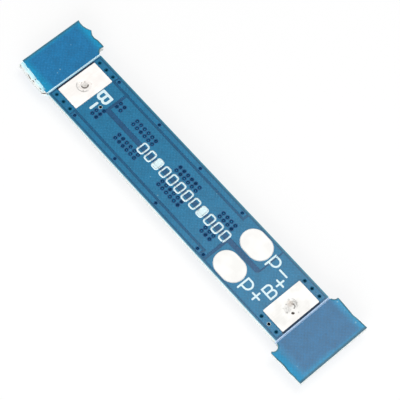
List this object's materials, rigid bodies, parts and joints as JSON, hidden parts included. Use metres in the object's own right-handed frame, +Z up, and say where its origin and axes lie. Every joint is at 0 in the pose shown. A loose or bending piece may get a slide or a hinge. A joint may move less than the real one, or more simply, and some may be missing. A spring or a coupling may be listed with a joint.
{
  "type": "battery management board",
  "caption": "Slim single-cell lithium protection board with nickel tabs, oval output pads and snapped break-off rails at both ends.",
  "frame": {"origin": "under the middle of the board, on the surface that the component tops rest on", "axes": "+X along the board towards its plus end, +Y across the board towards the P- side, +Z up, out of the pad side"},
  "size_m": [0.048, 0.01, 0.0022],
  "materials": {
    "laminate": "blue solder mask over copper and glass-fibre laminate, semi-gloss, bare fibre at the snapped ends",
    "nickel": "plain rolled nickel strip",
    "solder": "bright solder with flux residue",
    "pad_tin": "levelled tin on copper",
    "package_epoxy": "black moulding epoxy, fine matt",
    "lead_metal": "matt tin-plated lead frame",
    "resistor_glaze": "black overcoat on white alumina",
    "capacitor_ceramic": "tan ceramic",
    "chip_end_tin": "matt tin",
    "print_ink": "white component print on the mask, matt"
  },
  "bodies": {
    "root": {"circuit_board": "laminate", "nickel_tab_minus": "nickel", "nickel_tab_plus": "nickel", "tab_solder_minus": "solder", "tab_solder_plus": "solder", "output_pad_minus": "pad_tin", "output_pad_plus": "pad_tin", "mosfet_1_body": "package_epoxy", "mosfet_1_leads": "lead_metal", "mosfet_1_solder": "solder", "mosfet_2_body": "package_epoxy", "mosfet_2_leads": "lead_metal", "mosfet_2_solder": "solder", "mosfet_3_body": "package_epoxy", "mosfet_3_leads": "lead_metal", "mosfet_3_solder": "solder", "protection_ic_body": "package_epoxy", "protection_ic_leads": "lead_metal", "protection_ic_solder": "solder", "supply_resistor_body": "resistor_glaze", "supply_resistor_ends": "chip_end_tin", "sense_resistor_body": "resistor_glaze", "sense_resistor_ends": "chip_end_tin", "filter_capacitor_body": "capacitor_ceramic", "filter_capacitor_ends": "chip_end_tin", "chip_part_solder": "solder"}
  },
  "joints": []
}
